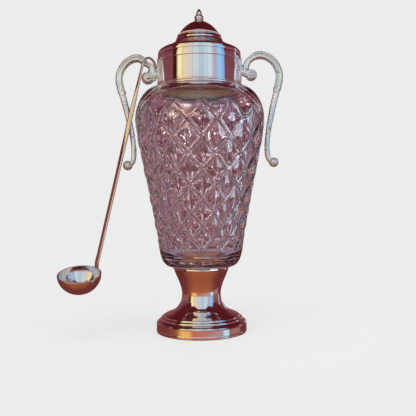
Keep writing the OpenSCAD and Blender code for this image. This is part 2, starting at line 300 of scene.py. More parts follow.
def joined(*parts):
    """Several meshes as one, each a list of points and a list of faces."""
    verts, faces = [], []
    for v, f in parts:
        start = len(verts)
        verts += [Vector(p) for p in v]
        faces += [tuple(i + start for i in face) for face in f]
    return verts, faces


def mirrored(part):
    """A mesh on the other side of the plane x = 0."""
    verts, faces = part
    return [Vector((-v[0], v[1], v[2])) for v in verts], faces


def piece(name, part, material, body, nodes, crease=38, marks=None):
    """Makes a visible piece from a mesh in millimetres. It rides on body and stands for the CAD nodes.

    marks says for each point how frosted it is, 0 to 1.
    """
    verts, faces = part
    mesh = bpy.data.meshes.new(name)
    mesh.from_pydata([Vector(v) * MM for v in verts], [], faces)
    bm = bmesh.new()
    bm.from_mesh(mesh)
    bmesh.ops.recalc_face_normals(bm, faces=bm.faces)
    bm.to_mesh(mesh)
    bm.free()
    mesh.shade_smooth()
    mesh.set_sharp_from_angle(angle=radians(crease))
    mesh.materials.append(material)
    if marks:
        mesh.attributes.new("cut", "FLOAT", "POINT").data.foreach_set("value", marks)
    obj = bpy.data.objects.new(name, mesh)
    scene.collection.objects.link(obj)
    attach(obj, body)
    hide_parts(*nodes)
    return obj


# ------------ materials

def linear(*levels):
    """A colour given in the usual 0 to 255 screen values."""
    shares = [level / 255 for level in levels]
    return tuple(c / 12.92 if c < 0.04 else ((c + 0.055) / 1.055) ** 2.4 for c in shares) + (1,)


class Tree:
    """Short way to write a node tree."""

    def __init__(self, owner):
        """Starts an empty tree in a material or a world."""
        owner.use_nodes = True
        self.tree = owner.node_tree
        self.tree.nodes.clear()

    def add(self, kind, inputs=None, **settings):
        """A shader node of a kind. Each input is either a value or the socket that feeds it."""
        node = self.tree.nodes.new("ShaderNode" + kind)
        for key, value in settings.items():
            setattr(node, key, value)
        for key, value in (inputs or {}).items():
            if isinstance(value, bpy.types.NodeSocket):
                self.tree.links.new(value, node.inputs[key])
            else:
                node.inputs[key].default_value = value
        return node

    def math(self, operation, *values, clamp=False):
        """The result of one arithmetic operation."""
        return self.add("Math", dict(enumerate(values)), operation=operation, use_clamp=clamp).outputs[0]

    def times(self, *values):
        """The product of all values."""
        product = values[0]
        for value in values[1:]:
            product = self.math("MULTIPLY", product, value)
        return product

    def rise(self, value, low, high):
        """0 below low and 1 above high."""
        limits = {"Value": value, "From Min": low, "From Max": high}
        return self.add("MapRange", limits, interpolation_type="SMOOTHSTEP").outputs[0]

    def fall(self, value, low, high):
        """1 below low and 0 above high."""
        return self.math("SUBTRACT", 1.0, self.rise(value, low, high))

    def ramp(self, value, stops):
        """A colour that runs through the stops, each a place from 0 to 1 and three screen values."""
        node = self.add("ValToRGB", {"Fac": value})
        points = node.color_ramp.elements
        while len(points) < len(stops):
            points.new(0.5)
        for point, (place, *levels) in zip(points, stops):
            point.position = place
            point.color = linear(*levels)
        return node.outputs["Color"]

    def mix(self, factor, a, b):
        """Colour a where the factor is 0 and colour b where it is 1."""
        return self.add("Mix", {0: factor, 6: a, 7: b}, data_type="RGBA").outputs[2]

    def noise(self, scale, detail=3, stretch=(1, 1, 1)):
        """Cloudy variation in the object's own space."""
        coords = self.add("TexCoord").outputs["Object"]
        placed = self.add("Mapping", {"Vector": coords, "Scale": stretch}).outputs[0]
        cloud = self.add("TexNoise", {"Vector": placed, "Scale": scale, "Detail": detail})
        return cloud.outputs["Fac"]


def surface(name, fixed, colour, roughness, height, depth, varied=None):
    """A Principled material. colour, roughness, height and varied are functions of its node tree.

    depth is the height of its bumps in metres.
    """
    material = bpy.data.materials.new(name)
    tree = Tree(material)
    inputs = {"Base Color": colour(tree), "Roughness": roughness(tree), **fixed}
    if varied:
        inputs.update(varied(tree))
    bumps = tree.add("Bump", {"Height": height(tree), "Distance": depth, "Strength": 1.0})
    inputs["Normal"] = bumps.outputs[0]
    shader = tree.add("BsdfPrincipled", inputs)
    tree.add("OutputMaterial", {"Surface": shader.outputs[0]})
    return material


def plated(name, bright, dull, low, high, metallic=1.0, turned=True):
    """Silver plate with cloudy tarnish, fine lines where it is turned, and small handling marks.

    low and high are its roughness where it is least and most worn.
    """
    lines = (30, 30, 2200) if turned else (1500, 1500, 1500)
    return surface(
        name, {"Metallic": metallic},
        lambda t: t.mix(t.rise(t.noise(22, 5), 0.45, 0.75), bright, dull),
        lambda t: t.math("ADD", low, t.times(high - low, t.noise(60, 6))),
        lambda t: t.math("ADD", t.noise(1.0, 2, lines), t.times(0.4, t.noise(900, 3))), depth=6e-6)


def cast(name, bright, dull, dark):
    """Cast and chased silver: patina lies in the recesses and the raised parts are rubbed bright."""
    def colour(t):
        pointed = t.add("NewGeometry").outputs["Pointiness"]
        hollow = t.times(t.fall(pointed, 0.41, 0.48), 0.85)
        spots = t.times(t.rise(t.noise(170, 3), 0.62, 0.68), 0.6)
        worn = t.mix(t.rise(t.noise(45, 5), 0.35, 0.7), bright, dull)
        return t.mix(t.math("MAXIMUM", hollow, spots, clamp=True), worn, dark)
    return surface(
        name, {"Metallic": 0.75}, colour,
        lambda t: t.math("ADD", 0.16, t.times(0.2, t.noise(300, 5))),
        lambda t: t.noise(500, 4), depth=3e-5)


band_metal = plated("band_metal", (0.86, 0.83, 0.82, 1), (0.78, 0.70, 0.68, 1), 0.03, 0.09)
foot_metal = plated("foot_metal", (0.84, 0.80, 0.78, 1), (0.72, 0.60, 0.54, 1), 0.05, 0.14)
ladle_metal = plated("ladle_metal", (0.86, 0.82, 0.80, 1), (0.74, 0.64, 0.60, 1), 0.12, 0.22, turned=False)
bead_metal = plated("bead_metal", (0.97, 0.96, 0.95, 1), (0.9, 0.86, 0.84, 1), 0.12, 0.2, 0.7, turned=False)
# The stem is a pinker, darker copy of the ladle's plated silver: its tint is painted reflection of the red
# room.
stem_metal_painted_reflection = plated("stem_metal_painted_reflection", (0.76, 0.61, 0.58, 1), (0.6, 0.44, 0.4, 1), 0.12, 0.2, turned=False)
cast_metal = cast("cast_metal", (0.86, 0.93, 0.90, 1), (0.62, 0.70, 0.67, 1), (0.10, 0.085, 0.07, 1))
plate_metal = plated("plate_metal", (0.93, 0.95, 0.98, 1), (0.8, 0.8, 0.82, 1), 0.14, 0.26, 0.7, turned=False)
ring_metal = plated("ring_metal", (0.95, 0.93, 0.92, 1), (0.86, 0.80, 0.78, 1), 0.06, 0.12, 0.88)


def cut_line(t):
    """Where the glass is cut: the bottoms of the V cuts are a little frosted."""
    return t.add("Attribute", attribute_name="cut").outputs["Fac"]


glass = surface(
    "cut_glass", {"IOR": 1.5},
    lambda t: t.mix(t.rise(t.noise(25, 3), 0.3, 0.7), (0.99, 0.965, 0.98, 1), (0.975, 0.945, 0.96, 1)),
    lambda t: t.math("ADD", t.times(0.03, t.rise(t.noise(200, 4), 0.5, 0.8)), t.times(0.22, cut_line(t))),
    lambda t: t.noise(60, 3), depth=1e-4,
    varied=lambda t: {"Transmission Weight": t.math("SUBTRACT", 1.0, t.times(0.75, cut_line(t)))})
# The plaster's warm emission is a painted glow: it stands in for the light that the glass keeps from the
# cement inside the neck.
plaster = surface(
    "plaster",
    {"Specular IOR Level": 0.3, "Emission Color": linear(200, 160, 130), "Emission Strength": 0.16},
    lambda t: t.mix(t.noise(160, 6), linear(246, 240, 226), linear(216, 204, 180)),
    lambda t: t.math("ADD", 0.8, t.times(0.15, t.noise(300, 3))),
    lambda t: t.noise(500, 6), depth=3e-4)
steel = surface(
    "steel", {"Metallic": 1.0},
    lambda t: t.mix(t.rise(t.noise(150, 5), 0.45, 0.7), (0.55, 0.55, 0.56, 1), (0.30, 0.24, 0.19, 1)),
    lambda t: t.math("ADD", 0.3, t.times(0.25, t.noise(220, 4))),
    lambda t: t.noise(800, 4), depth=3e-5)
felt = surface(
    "felt", {"Sheen Weight": 0.6},
    lambda t: t.mix(t.noise(900, 6), linear(28, 52, 36), linear(52, 84, 58)),
    lambda t: t.math("ADD", 0.85, t.times(0.1, t.noise(700, 3))),
    lambda t: t.noise(1800, 6, (1, 1, 0.3)), depth=3e-4)


# ------------ glass vessel

CUTS = 14              # diamonds round the glass
CUT_ANGLE = radians(49.5)
CUT_TOP_Z = 323
CUT_ROWS = 5           # diamonds from the top peaks down to the lowest points
FRONT_CUT_AZ = radians(2.6)
# Across a cut band from its middle, as shares of a diamond's side
RIBBON = 0.094         # the edge of its flat ribbon
CUT_MIDDLE = 0.11      # the bottom of the V cut beside the ribbon
CUT_EDGE = 0.126       # the far edge of the V cut
# The mesh's lines along half a diamond's side, close together across the band
HALF_STEPS = [0, 0.047, RIBBON, CUT_MIDDLE, CUT_EDGE, 0.148, 0.184, 0.23, 0.29, 0.355, 0.425]
SIDE_STEPS = HALF_STEPS + [0.5] + [1 - t for t in HALF_STEPS[::-1]]
RIBBON_DEPTH = 1.5
RIBBON_CROWN = 0.35    # how far the middle of a ribbon stands above its sides
RIBBON_SLOPE = 0.7     # the rising bands lean to the left
CROSSING_DEPTH = 0.5   # how much deeper a V cut leaves the ribbon that it crosses
CUT_DEPTH = 3.1
FROSTED_DEPTH = CUT_DEPTH - 0.2
PILLOW_DEPTH = 3.2
LAP = 0.03             # how far the bands run on past the outermost points, in diamonds
KEY_GRID = 10000       # lattice coordinates are told apart to this share of a diamond

glass_outer = (
    [(NECK_R, NECK_TOP_Z), (NECK_R, SHOULDER_Z + 1.5), (NECK_R + 0.5, SHOULDER_Z + 0.4),
     (NECK_R + 1.5, SHOULDER_Z), (SHOULDER_R, SHOULDER_Z)]
    + bez((SHOULDER_R, SHOULDER_Z), (80.5, SHOULDER_Z), (BELLY_R, BELLY_Z + 27), (BELLY_R, BELLY_Z), 48)
    + bez((BELLY_R, BELLY_Z), (BELLY_R, BELLY_Z - 18), FLANK, TAPER, 48)
    + bez(TAPER, (70.2, 173), (65.8, 150), HEEL, 32)
    + bez(HEEL, (59.2, FLOOR_Z), (55.4, SEAT_Z + 0.6), (SEAT_R, SEAT_Z + GAP), 40))
glass_under = rounded([(SEAT_R, SEAT_Z + GAP, 0), (PEG_R, SEAT_Z + GAP, 0.5), (PEG_R, SEAT_Z - PEG_H, 1.5),
                       (0, SEAT_Z - PEG_H, 0)])[1:]

NECK_IN_R = NECK_R - GLASS_T
IN_R = BELLY_R - GLASS_T
IN_Z = SHOULDER_Z - GLASS_T
IN_FLANK = (FLANK[0] - GLASS_T, FLANK[1])
IN_TAPER = (TAPER[0] - GLASS_T, TAPER[1])
IN_HEEL = (HEEL[0] - GLASS_T, HEEL[1] + 1)
glass_inner = (
    [(NECK_IN_R, NECK_TOP_Z), (NECK_IN_R, IN_Z + 6)]
    + bez((NECK_IN_R, IN_Z + 6), (NECK_IN_R, IN_Z + 2), (54, IN_Z), (60, IN_Z), 6)
    + bez((60, IN_Z), (76, IN_Z), (IN_R, BELLY_Z + 24), (IN_R, BELLY_Z), 18)
    + bez((IN_R, BELLY_Z), (IN_R, BELLY_Z - 18), IN_FLANK, IN_TAPER, 12)
    + bez(IN_TAPER, (64.3, 173), (60, 150), IN_HEEL, 6)
    + bez(IN_HEEL, (54, 114), (50, FLOOR_Z), (36, FLOOR_Z), 10)
    + [(18, FLOOR_Z), (0, FLOOR_Z)])


def lattice_levels():
    """Distances down the outer profile, and the lattice level at each.

    The level is 0 at the top peaks and 1 less for each diamond down.
    """
    total = lengths(glass_outer)
    rate = CUTS / math.tan(CUT_ANGLE) / TURN
    levels = [0.0]
    for i in range(1, len(glass_outer)):
        r = (glass_outer[i][0] + glass_outer[i - 1][0]) / 2
        levels.append(levels[-1] - rate * (total[i] - total[i - 1]) / r)
    top = next(i for i, p in enumerate(glass_outer) if p[1] <= CUT_TOP_Z)
    f = (glass_outer[top - 1][1] - CUT_TOP_Z) / (glass_outer[top - 1][1] - glass_outer[top][1])
    zero = levels[top - 1] + f * (levels[top] - levels[top - 1])
    return total, [level - zero for level in levels]


def on_glass(level, total, levels):
    """The point of the outer profile at a lattice level, and its inward normal."""
    i = 0
    while i < len(levels) - 2 and levels[i + 1] > level:
        i += 1
    f = (levels[i] - level) / (levels[i] - levels[i + 1])
    p, t = at_length(glass_outer, total, total[i] + f * (total[i + 1] - total[i]))
    return p, Vector((t.y, -t.x))


def band(d):
    """Depth of a cut band at distance d from its middle, or None beyond it: a ribbon between two V cuts."""
    if d <= RIBBON + ROUND_OFF:
        return RIBBON_DEPTH - RIBBON_CROWN * (1 - (d / RIBBON) ** 2)
    if d <= CUT_MIDDLE + ROUND_OFF:
        return CUT_DEPTH
    return None


def cut_depth(u, v):
    """How deep the glass is cut at lattice coordinates u and v, in millimetres."""
    x = 2 * (u - math.floor(u)) - 1
    y = 2 * (v - math.floor(v)) - 1
    middle = (math.floor(u + ROUND_OFF) + math.floor(v + ROUND_OFF) + 1) / 2
    face = PILLOW_DEPTH * (1 - (1 - x * x) * (1 - y * y)) if -CUT_ROWS < middle < 0 else 0.0
    bands = []
    for a, b, slope in ((u, v, 0.0), (v, u, RIBBON_SLOPE)):
        line = round(a)
        if -CUT_ROWS - LAP < (line + b) / 2 < LAP:
            d = band(abs(a - line))
            if d is not None:
                bands.append(d + slope * (a - line) / RIBBON if d < CUT_DEPTH else d)
    ribbons = [d for d in bands if d < CUT_DEPTH]
    if len(bands) == 2 and len(ribbons) == 1:
        return ribbons[0] + CROSSING_DEPTH
    if ribbons:
        return min(ribbons)
    return max(bands) if bands else face


def vessel_mesh():
    """The glass: a diamond lattice between a smooth shoulder and a smooth base, and a smooth inner wall."""
    total, levels = lattice_levels()
    verts, faces, known, marks = [], [], {}, []

    def corner(i, j, a, b):
        """The vertex at steps a and b of cell i, j, shared by its neighbours."""
        u, v = i + SIDE_STEPS[a], j + SIDE_STEPS[b]
        key = (round((u - v) * KEY_GRID) % (2 * CUTS * KEY_GRID), round((u + v) * KEY_GRID))
        if key not in known:
            p, inward = on_glass((u + v) / 2, total, levels)
            depth = cut_depth(u, v)
            q = p + inward * depth
            marks.append(1.0 if depth > FROSTED_DEPTH else 0.0)
            angle = TURN * (u - v) / 2 / CUTS + FRONT_CUT_AZ
            known[key] = len(verts)
            verts.append((q.x * sin(angle), -q.x * cos(angle), q.y))
        return known[key]

    n = len(SIDE_STEPS) - 1
    lowest, highest = -2 * CUT_ROWS - 1, -1
    edges = {lowest: [], highest: []}
    for row in range(lowest, highest + 1):
        for k in range(CUTS):
            i = k + (row + 1) // 2
            j = row - i
            for a in range(n):
                for b in range(n):
                    above_middle = a + b - (n - 1)
                    if row == highest and above_middle > 0 or row == lowest and above_middle < 0:
                        continue
                    places = [(a, b), (a + 1, b), (a + 1, b + 1), (a, b + 1)]
                    if row in edges and above_middle == 0:
                        places.pop(2 if row == highest else 0)
                        edges[row].append((k + a / n, corner(i, j, a, b + 1)))
                    faces.append(tuple(corner(i, j, *place) for place in places))
    top_row = [vertex for place, vertex in sorted(edges[highest])]
    low_row = [vertex for place, vertex in sorted(edges[lowest])]

    def ring_at(start, profile):
        """Rows of vertices at the same angles as a row of the lattice, along a profile."""
        angles = [math.atan2(verts[v][0], -verts[v][1]) for v in start]
        rows = []
        for r, z in profile:
            if r < ON_AXIS:
                rows.append([len(verts)])
                verts.append((0, 0, z))
                continue
            rows.append(list(range(len(verts), len(verts) + len(angles))))
            verts.extend((r * sin(a), -r * cos(a), z) for a in angles)
        return rows

    clear = 0.012      # levels this close to the lattice have no ring of their own
    above = [p for p, level in zip(glass_outer, levels) if level > clear][::-1]
    below = [p for p, level in zip(glass_outer, levels) if level < -CUT_ROWS - clear]
    upper = ring_at(top_row, above)
    lower = ring_at(low_row, below[::3] + [below[-1]] + glass_under)
    faces += ring_faces([top_row] + upper)
    faces += ring_faces([low_row] + lower)
    rim = upper[-1]
    sparse = rim[::2]
    inner = ring_at(sparse, glass_inner)
    count = len(sparse)
    for k in range(count):
        m = (k + 1) % count
        faces.append((rim[2 * k], rim[2 * k + 1], rim[(2 * k + 2) % len(rim)], inner[0][m], inner[0][k]))
    faces += ring_faces(inner)
    return (verts, faces), marks + [0.0] * (len(verts) - len(marks))


vessel, cut_marks = vessel_mesh()
vessel_piece = piece("glass_vessel_cut", vessel, glass, "vessel", ["glass_vessel"],
                     crease=28, marks=cut_marks)


# ------------ collar, lid and finial

collar_outer = ringed(
    [(COLLAR_R - 0.5, SEAM_Z - 0.1), (COLLAR_R - 0.12, SEAM_Z - 0.22), (COLLAR_R, SEAM_Z - 0.6),
     (COLLAR_R, COLLAR_Z + 0.6), (COLLAR_R - 0.12, COLLAR_Z + 0.22), (COLLAR_R - 0.5, COLLAR_Z + GAP)],
    [(GROOVE_Z, -0.42, 0.9), (COLLAR_Z + 2.2, 0.2, 1.1)])
collar_inner = [(COLLAR_IN_R, COLLAR_Z + GAP), (COLLAR_IN_R, SEAM_Z - 0.1)]
piece("neck_collar_spun", lathe(collar_outer + collar_inner), band_metal, "vessel",
      ["neck_collar"])

ring_mid = (SHOULDER_Z + COLLAR_Z) / 2
ring_half = (COLLAR_Z - SHOULDER_Z) / 2
base_ring = (arc((RING_R - ring_half, ring_mid), ring_half - 0.05, 90, -90, 16)
             + [(NECK_R + 0.1, SHOULDER_Z + 0.05), (NECK_R + 0.1, COLLAR_Z - 0.05)])
piece("collar_base_ring_rolled", lathe(base_ring), ring_metal, "vessel", ["collar_base_ring"])

lid_outer = (
    [(STUD_HOLE_R, CROWN_Z), (5, CROWN_Z)]
    + bez((5, CROWN_Z), (18.5, CROWN_Z - 2.6), (30.8, DOME_Z + 12.5), (DOME_R, DOME_Z), 48)
    + bez((DOME_R, DOME_Z), (35.4, DOME_Z - 1.6), (37.2, DOME_Z - 2.8), (39.2, DOME_Z - 4), 8)
    + bez((39.2, DOME_Z - 4), (42.6, DOME_Z - 6.2), (46.5, LEDGE_Z + 1.2), (51, LEDGE_Z), 14)
    + bez((51, LEDGE_Z), (53.6, LEDGE_Z - 0.7), (55.4, LEDGE_Z - 1.5), (56.6, LEDGE_Z - 2.3), 8)
    + bez((56.6, LEDGE_Z - 2.3), (58.7, LEDGE_Z - 3.6), (RIM_R, LEDGE_Z - 5.4), (RIM_R, LEDGE_Z - 8), 16)
    + [(RIM_R, SEAM_Z + 0.5), (RIM_R - 0.15, SEAM_Z + 0.12), (RIM_R - 0.5, SEAM_Z + GAP)])
# Height, size and width of the raised rings and, below 0, the turned-in lines
lid_rings = [(BEAD_Z + 2.4, 0.12, 0.8), (BEAD_Z - 1.8, 0.15, 0.9), (DOME_Z + 2.6, 0.25, 1.2),
             (DOME_Z + 1.0, -0.2, 0.8), (DOME_Z - 0.6, 0.15, 0.9), (404.4, 0.15, 0.9)]
piece("lid_shell_spun", lathe(shell(ringed(lid_outer, lid_rings), LID_T)), band_metal, "lid",
      ["lid_shell"])


def bead_ring():
    """A ring of small beads soldered side by side."""
    neck, swell = 0.15, 0.75
    per_bead, sides = 8, 14
    verts, rows = [], []
    for k in range(BEADS * per_bead):
        phase = (k % per_bead) / per_bead * 2 - 1
        size = neck + swell * math.sqrt(1 - phase * phase)
        angle = TURN * k / (BEADS * per_bead)
        rows.append(list(range(len(verts), len(verts) + sides)))
        for m in range(sides):
            a = TURN * m / sides
            r = BEAD_R + 0.8 + size * cos(a)
            verts.append((r * sin(angle), -r * cos(angle), BEAD_Z + 0.6 + size * sin(a)))
    return verts, ring_faces(rows, closed=True)


piece("lid_bead_ring_beads", bead_ring(), bead_metal, "lid", ["lid_bead_ring"])

TIP_Z = CROWN_Z + FINIAL_H
finial = (
    [(0, TIP_Z), (0.7, TIP_Z - 0.1), (1.2, TIP_Z - 0.5)]
    + bez((1.2, TIP_Z - 0.5), (2.6, TIP_Z - 2.1), (4.4, TIP_Z - 5.3), (4.4, TIP_Z - 7.9), 24)
    + bez((4.4, TIP_Z - 7.9), (4.3, TIP_Z - 8.6), (3.6, TIP_Z - 8.7), (4.3, TIP_Z - 9.3), 8)
    + bez((4.3, TIP_Z - 9.3), (7.4, TIP_Z - 10.5), (7.4, TIP_Z - 15.3), (5.2, TIP_Z - 16.4), 24)
    + bez((5.2, TIP_Z - 16.4), (4.9, TIP_Z - 16.9), (5.2, TIP_Z - 17.2), (5.6, TIP_Z - 17.3), 6)
    + bez((5.6, TIP_Z - 17.3), (7.0, TIP_Z - 17.4), (7.4, TIP_Z - 17.8), (7.2, CROWN_Z + 0.03), 6)
    + [(0, CROWN_Z + 0.03)])
piece("finial_turned", lathe(finial, 128, closed=False), band_metal, "lid", ["finial"])


# ------------ foot

foot_outer = (
    [(FOOT_TOP_R - 0.7, SEAT_Z - 0.1), (FOOT_TOP_R - 0.4, SEAT_Z - 0.25), (FOOT_TOP_R + 0.3, SEAT_Z - 2.7),
     (FOOT_TOP_R + 0.1, SEAT_Z - 3.1), (FOOT_TOP_R - 0.5, SEAT_Z - 3.3)]
    + bez((FOOT_TOP_R - 0.8, SEAT_Z - 3.4), (37.5, 82), (WAIST_R + 0.6, WAIST_Z + 13), (WAIST_R, WAIST_Z), 40)
    + bez((WAIST_R, WAIST_Z), (WAIST_R, WAIST_Z - 12), (31.2, 36.5), FLARE, 40)
    + bez(FLARE, (46, 28), (51, 27), LIP, 16)
    + bez(LIP, (55.5, 23.7), (55.7, 23), LIP_FOOT, 4)
    + bez(LIP_FOOT, (58.4, 22.6), (59.9, 20.6), STEP, 14)
    + bez(STEP, (61.2, 17.7), (FOOT_R - 0.2, 16.6), (FOOT_R, RIM_H), 14)
    + [(FOOT_R, 7), (FOOT_R, 1.6)]
    + bez((FOOT_R, 1.6), (FOOT_R, 0.5), (FOOT_R - 0.6, GAP), (FOOT_R - 1.2, GAP), 6)
    + [(FOOT_R - FOOT_T - 0.9, GAP)])

FOOT_IN_R = FOOT_R - FOOT_T - 0.2
IN_FLARE = (50.6, 24)
IN_WAIST = (WAIST_R - FOOT_T, WAIST_Z)
IN_TOP_R = FOOT_TOP_R - FOOT_T
foot_inner = (
    [(FOOT_IN_R, 1), (FOOT_IN_R, RIM_H - 1)]
    + bez((FOOT_IN_R, RIM_H - 1), (59, 17.3), (56, 19.8), IN_FLARE, 8)
    + bez(IN_FLARE, (45, 27.5), (29.4, 34), IN_WAIST, 16)
    + bez(IN_WAIST, (WAIST_R - 1, WAIST_Z + 13), (36, 82), (IN_TOP_R, SEAT_Z - 2.5), 16)
    + [(IN_TOP_R, SEAT_Z - 0.1)])
foot_rings = [(RIM_H + 0.6, 0.3, 1.1), (3.6, 0.25, 1.1)]
piece("foot_shell_spun", lathe(ringed(foot_outer, foot_rings) + foot_inner), foot_metal, "vessel",
      ["foot_shell"])

# ------------ handle plates

# Height and half width of a plate's outline, from the top of its arch down
PLATE_EDGE = [(396.6, 0), (395.6, 9), (391.9, 20), (387, 29), (381, 33.5), (374, 36), (366, 37.4),
              (357, 37.8)]
plate_curve = through(PLATE_EDGE, 12)


def plate_half(z):
    """Half the width of a plate at height z."""
    below, above = next((q, p) for p, q in zip(plate_curve, plate_curve[1:]) if p[0] >= z > q[0] - ROUND_OFF)
    return above[1] + (above[0] - z) / (above[0] - below[0]) * (below[1] - above[1])


def plate_mesh():
    """A plate curved to the collar, with a raised bright rim round its arched outline."""
    rows, columns = 64, 96
    gather = 1.7          # the rows lie closer together under the arch
    inset = 0.15
    sunk = 0.3            # how far the field lies below the rim
    top, foot = PLATE_EDGE[0][0], PLATE_EDGE[-1][0]
    verts, sheets = [], []
    for outer in (True, False):
        grid = []
        for i in range(rows + 1):
            z = top - inset - (top - foot - 2 * inset) * (i / rows) ** gather
            half = plate_half(z)
            line = []
            for j in range(columns + 1):
                across = sin((j / columns - 0.5) * math.pi)
                turn = half * across / COLLAR_R
                edge = min(half * (1 - abs(across)) * 0.8, (top - z) * 0.9, (z - foot) + 0.2)
                lift = PLATE_T * smooth(-0.4, 2.6, edge) - sunk * smooth(3.4, 4.2, edge)
                r = COLLAR_R + (max(lift, 0.15) if outer else 0.05)
                line.append(len(verts))
                verts.append((r * cos(turn), r * sin(turn), z))
            grid.append(line)
        sheets.append(grid)
    faces = []
    for grid, order in zip(sheets, (1, -1)):
        for a, b in zip(grid, grid[1:]):
            for j in range(columns):
                faces.append((a[j], a[j + 1], b[j + 1], b[j])[::order])
    loops = []
    for grid in sheets:
        right, left = [row[-1] for row in grid[1:]], [row[0] for row in grid[-2:0:-1]]
        loops.append(grid[0] + right + grid[-1][-2::-1] + left)
    return verts, faces + ring_faces(loops)


plate = plate_mesh()
piece("right_handle_plate_chased", plate, plate_metal, "vessel", ["right_handle_plate"])
piece("left_handle_plate_chased", mirrored(plate), plate_metal, "vessel", ["left_handle_plate"])

# ------------ handles

# Centre line of an arm: radius, height, thickness in the plane, depth across it
ROOT_HIGH = [(67.3, 372, 10, 10), (67, 381, 10, 9.6), (68.6, 388.5, 9.4, 9), (73, 394.6, 9.2, 9),
             (80.5, 399.4, 10.4, 9.4)]
ROOT_LOW = [(69, 368, 12, 10), (68.8, 376, 12, 10), (69, 383, 11, 9.2), (70.4, 388, 9.4, 8),
            (73.8, 391.2, 8.5, 7), (79, 394, 8.8, 7.2), (83.6, 398.4, 10.2, 8.4)]
ARM = [(89, 401, 11.2, 9.6), (98.4, 398.6, 11, 9.6), (106.6, 392.8, 10.6, 9.4), (112.3, 385, 10.2, 9.2),
       (115.6, 376.2, 10, 9), (116.2, 367.5, 10, 9), (114.7, 358.7, 10, 9), (112.6, 350, 10.2, 9),
       (110.3, 341.2, 9.8, 8.6), (108, 332.4, 9.8, 8.6), (105.4, 320.8, 9.2, 8.4), (103.1, 309, 8.8, 8.2),
       (100.8, 297.4, 8.4, 8), (99, 285.7, 8, 8), (97.8, 274, 8, 8), (97.6, 262.5, 8, 8),
       (99.3, 251.6, 8, 7.6), (104, 244.4, 6.5, 7)]
ARCH_R = 80.5         # the arm's ribbed arch begins this far out
OUTER_R = 90          # beyond this it is the outer arm
KNUCKLE_Z = 350
NOTCHES = [353.5, 345.5, 336.5, 331.5]   # heights of the cuts across the outer arm
NUB_STEP = 4.6
CAST_INSET = 0.25     # leaves room for the relief inside the CAD outline


def arm_mesh(root, drop, lean):
    """The arm: three ribs over the arch, a nubbed outer edge, a knuckle with cross cuts and a plain stem."""
    rows = through(list(root) + [(x + lean * (z - LEAN_Z), z, a, b) for x, z, a, b in ARM], 16)
    path = [Vector((r[0], 0, r[1])) for r in rows]
    out = []
    for i in range(len(path)):
        t = (path[min(i + 1, len(path) - 1)] - path[max(i - 1, 0)]).normalized()
        out.append(Vector((-t.z, 0, t.x)))
    run = lengths(path)
    arch = run[next(i for i, p in enumerate(path) if p.x > ARCH_R)]
    knuckle = run[max(i for i, p in enumerate(path) if p.z > KNUCKLE_Z and p.x > OUTER_R)]

    def section(i, angle):
        x, z, thick, deep = rows[i]
        outer = cos(angle)
        on_arch = smooth(arch - 1.2, arch + 0.8, run[i])
        above = smooth(knuckle + 2, knuckle - 2, run[i])
        ribs = 0.7 * cos(6 * angle) * above
        wave = sin(run[i] * TURN / NUB_STEP + 2 * sin(run[i] / 7))
        nubs = 0.12 * wave * smooth(0.5, 0.95, outer) * on_arch * above
        step = -0.7 * (1 - on_arch) * smooth(0.0, 0.8, outer)
        nearest = max(bump(z - n, 1.9) for n in NOTCHES)
        notch = -0.7 * nearest * (x > OUTER_R) * smooth(0.7, -0.6, outer)
        swell = 0.9 * bump(run[i] - knuckle, 6) * smooth(0.1, -0.8, outer)
        plain = -0.25 * smooth(0, 1, abs(sin(2 * angle))) * (1 - above)
        lift = ribs + nubs + step + notch + swell + plain - CAST_INSET
        size = squared(angle, 2.4)
        return (thick / 2 * size + lift) * cos(angle), (deep / 2 * size + lift) * sin(angle)

    verts, faces = sweep(path, out, [DEEP] * len(path), section, 48)
    return [v - drop * UP for v in verts], faces


def curl_relief(slope, turn):
    """A scroll line that winds round the curl, over a punched ground."""
    rim = sin(slope)
    scroll = 0.5 * sin(turn + 15 * rim) * smooth(0.1, 0.3, rim) * smooth(1.0, 0.9, rim)
    grains = 0.3 * sin(17 * slope) * sin(16 * turn) * smooth(0.0, 0.35, rim)
    return scroll + grains - CAST_INSET


def rosette_relief(slope, turn):
    """Eight petals round a small boss on each face of the ball."""
    rim = sin(slope)
    petals = 0.6 * (abs(cos(4 * turn)) - 0.6) * smooth(0.2, 0.5, rim) * smooth(1.0, 0.8, rim)
    boss = -0.5 * bump(rim - 0.3, 0.2)
    return petals + boss - CAST_INSET


def handle_mesh(root, drop, lean, curl_r):
    """A right-hand handle with its curl and its ball."""
    centre = Vector((CURL[0], 0, CURL[1] - drop))
    neck_r = 4.6
    steps = 12
    start = Vector((PLATE_R - 0.4, 0, centre.z + neck_r))
    end = centre - Vector((0.4, 0, 0))
    neck = [start.lerp(end, k / steps) for k in range(steps + 1)]

    def neck_section(i, angle):
        size = neck_r + 0.25 * i + 0.25 * cos(8 * angle)
        return size * cos(angle), size * sin(angle)

    return joined(
        arm_mesh(root, drop, lean),
        sweep(neck, [UP] * len(neck), [DEEP] * len(neck), neck_section, 48),
        ball(centre, curl_r, curl_relief),
        ball(Vector((BALL[0] + lean * (BALL[1] - LEAN_Z), 0, BALL[1] - drop)), BALL_R, rosette_relief))


right_handle = handle_mesh(ROOT_HIGH, 0, 0, CURL_R)
left_handle = mirrored(handle_mesh(ROOT_LOW, LEFT_DROP, LEFT_LEAN, LEFT_CURL_R))
piece("right_handle_cast", right_handle, cast_metal, "vessel", ["right_handle"])
piece("left_handle_cast", left_handle, cast_metal, "vessel", ["left_handle"])

# ------------ ladle

tilt = Matrix.Rotation(BOWL_TILT, 3, "X")


def by_bowl(distance, elevation):
    """A point on the stem's side of the bowl, at a distance and an elevation from the rim's centre."""
    e = radians(elevation)
    away = Vector((cos(e) * cos(JOINT_AZ), cos(e) * sin(JOINT_AZ), sin(e)))
    return BOWL_C + tilt @ away * distance


def bowl_side(radius, depth, angles):
    """Points on the side of the bowl at angles below its rim."""
    turns = [radians(a) for a in angles]
    return [(radius * cos(a), -depth * sin(a)) for a in turns]


